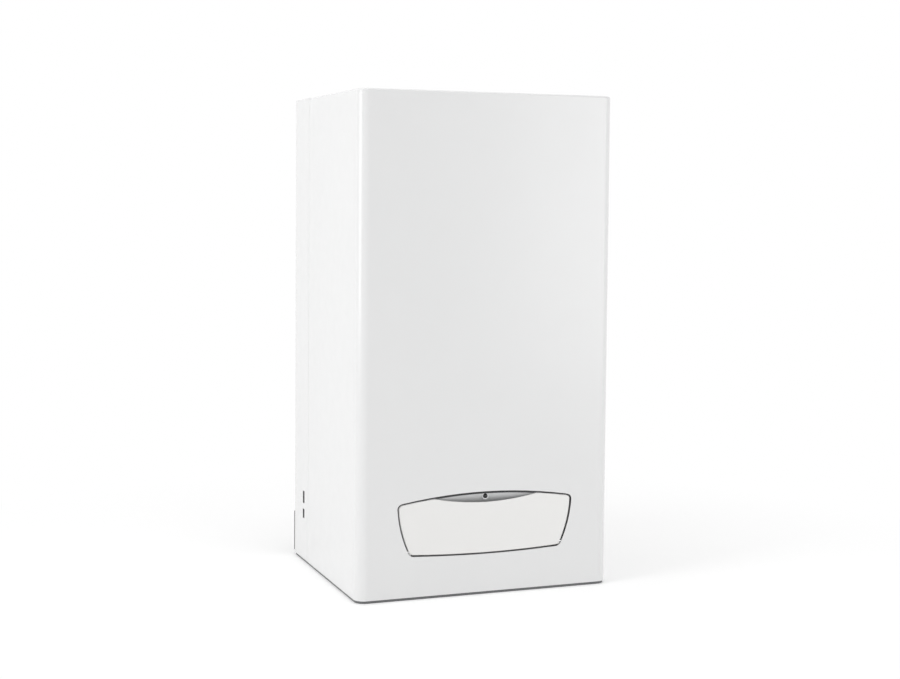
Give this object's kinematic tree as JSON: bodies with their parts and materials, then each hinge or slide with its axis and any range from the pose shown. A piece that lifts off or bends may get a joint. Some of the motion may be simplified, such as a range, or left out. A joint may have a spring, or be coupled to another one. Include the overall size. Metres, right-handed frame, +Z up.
{
  "type": "combi boiler",
  "caption": "White wall-hung gas combi boiler with a drop-down control flap, pull-off front casing, sealed chamber, fan, pump and connections below.",
  "frame": {"origin": "middle of the base, on the surface that the bottom cover rests on, under the middle of the boiler's depth from casing front to wall", "axes": "+Z up, +X to the right as seen from the front, +Y towards the wall, so the casing's front faces -Y"},
  "size_m": [0.4, 0.345, 0.748],
  "materials": {
    "white_enamel": "smooth satin white powder coat",
    "flap_plastic": "smooth white moulded plastic, low gloss",
    "silver_plastic": "silver-grey painted plastic",
    "dark_plastic": "fine-grained dark grey moulding",
    "black_plastic": "black moulding",
    "grey_plastic": "mid grey moulding",
    "black_gloss": "polished black lens",
    "red_plastic": "red moulding",
    "clear_window": "clear polished window",
    "chrome_steel": "bright plated steel",
    "galvanised_steel": "zinc-coated sheet steel",
    "stainless_steel": "bare stainless steel",
    "cast_aluminium": "as-cast aluminium",
    "copper": "bare copper, slightly dulled",
    "brass": "machined brass",
    "cast_iron_black": "black painted casting",
    "red_paint": "red enamel",
    "insulation_board": "pale ceramic fibre board",
    "circuit_board": "green coated circuit board"
  },
  "bodies": {
    "root": {"rear_chassis": "white_enamel", "hanging_rail": "galvanised_steel", "lower_rail": "galvanised_steel", "top_panel": "white_enamel", "bottom_cover": "dark_plastic", "cable_gland": "black_plastic", "grip_surround": "silver_plastic", "lamp_bezel": "chrome_steel", "status_lamp": "black_gloss", "console_fascia": "silver_plastic", "console_housing": "black_plastic", "control_board": "circuit_board", "display_window": "clear_window", "pressure_gauge": "dark_plastic", "gauge_lens": "clear_window", "console_bracket_left": "galvanised_steel", "console_bracket_right": "galvanised_steel", "sealed_chamber": "galvanised_steel", "chamber_cover": "galvanised_steel", "chamber_screw_left": "chrome_steel", "chamber_screw_right": "chrome_steel", "firebox": "insulation_board", "burner": "stainless_steel", "primary_heat_exchanger": "copper", "flue_hood": "galvanised_steel", "fan_housing": "cast_aluminium", "fan_motor": "cast_iron_black", "flue_collar": "cast_aluminium", "flue_tube": "cast_aluminium", "expansion_vessel": "red_paint", "vessel_pipe": "copper", "flow_block": "brass", "return_block": "brass", "plate_heat_exchanger": "stainless_steel", "diverter_motor": "grey_plastic", "pump_body": "cast_iron_black", "pump_motor": "cast_aluminium", "gas_valve": "cast_aluminium", "gas_tail": "brass", "gas_pipe": "copper", "flow_pipe": "copper", "return_pipe": "copper", "safety_valve": "brass", "air_vent": "brass"},
    "casing": {"front_casing": "white_enamel"},
    "flap": {"control_flap": "flap_plastic", "flap_hinge_pin_left": "chrome_steel", "flap_hinge_pin_right": "chrome_steel"},
    "heating_control": {"heating_knob": "dark_plastic"},
    "hot_water_control": {"hot_water_knob": "dark_plastic"},
    "button_1": {"console_button_1": "grey_plastic"},
    "button_2": {"console_button_2": "grey_plastic"},
    "button_3": {"console_button_3": "grey_plastic"},
    "button_4": {"console_button_4": "grey_plastic"},
    "needle": {"gauge_needle": "red_paint"},
    "fan_wheel": {"fan_impeller": "stainless_steel"},
    "pump_wheel": {"pump_impeller": "black_plastic"},
    "spindle": {"diverter_spindle": "brass"},
    "relief_cap": {"safety_valve_knob": "red_plastic"},
    "tap_knob": {"filling_tap_knob": "black_plastic"}
  },
  "joints": [
    {"name": "casing_slide", "type": "slide", "parent": "root", "child": "casing", "axis": [0, -1, 0], "range_m": [0, 0.35]},
    {"name": "flap_hinge", "type": "hinge", "parent": "casing", "child": "flap", "pos_m": [0, -0.1695, 0.0705], "axis": [1, 0, 0], "range_deg": [0, 85]},
    {"name": "heating_knob_turn", "type": "hinge", "parent": "root", "child": "heating_control", "pos_m": [-0.095, -0.154, 0.104], "axis": [0, 1, 0], "range_deg": [-135, 135]},
    {"name": "hot_water_knob_turn", "type": "hinge", "parent": "root", "child": "hot_water_control", "pos_m": [-0.048, -0.154, 0.104], "axis": [0, 1, 0], "range_deg": [-135, 135]},
    {"name": "button_1_press", "type": "slide", "parent": "root", "child": "button_1", "axis": [0, 1, 0], "range_m": [0, 0.0012], "stiffness_N_per_m": 500, "springref_m": -0.001},
    {"name": "button_2_press", "type": "slide", "parent": "root", "child": "button_2", "axis": [0, 1, 0], "range_m": [0, 0.0012], "stiffness_N_per_m": 500, "springref_m": -0.001},
    {"name": "button_3_press", "type": "slide", "parent": "root", "child": "button_3", "axis": [0, 1, 0], "range_m": [0, 0.0012], "stiffness_N_per_m": 500, "springref_m": -0.001},
    {"name": "button_4_press", "type": "slide", "parent": "root", "child": "button_4", "axis": [0, 1, 0], "range_m": [0, 0.0012], "stiffness_N_per_m": 500, "springref_m": -0.001},
    {"name": "gauge_needle_turn", "type": "hinge", "parent": "root", "child": "needle", "pos_m": [0.088, -0.154, 0.104], "axis": [0, 1, 0], "range_deg": [0, 270], "stiffness_Nm_per_rad": 0.001},
    {"name": "fan_spin", "type": "hinge", "parent": "root", "child": "fan_wheel", "pos_m": [-0.031, 0.02, 0.64], "axis": [0, 1, 0], "continuous": true},
    {"name": "pump_spin", "type": "hinge", "parent": "root", "child": "pump_wheel", "pos_m": [0.1, 0.06, 0.148], "axis": [0, 1, 0], "continuous": true},
    {"name": "diverter_shift", "type": "slide", "parent": "root", "child": "spindle", "axis": [0, 1, 0], "range_m": [0, 0.008]},
    {"name": "relief_cap_turn", "type": "hinge", "parent": "root", "child": "relief_cap", "pos_m": [0.12, 0.038, 0.075], "axis": [0, -1, 0], "range_deg": [0, 90]},
    {"name": "filling_tap_turn", "type": "hinge", "parent": "root", "child": "tap_knob", "pos_m": [0.095, 0.08, 0.045], "axis": [0, 0, 1], "range_deg": [0, 90]}
  ]
}
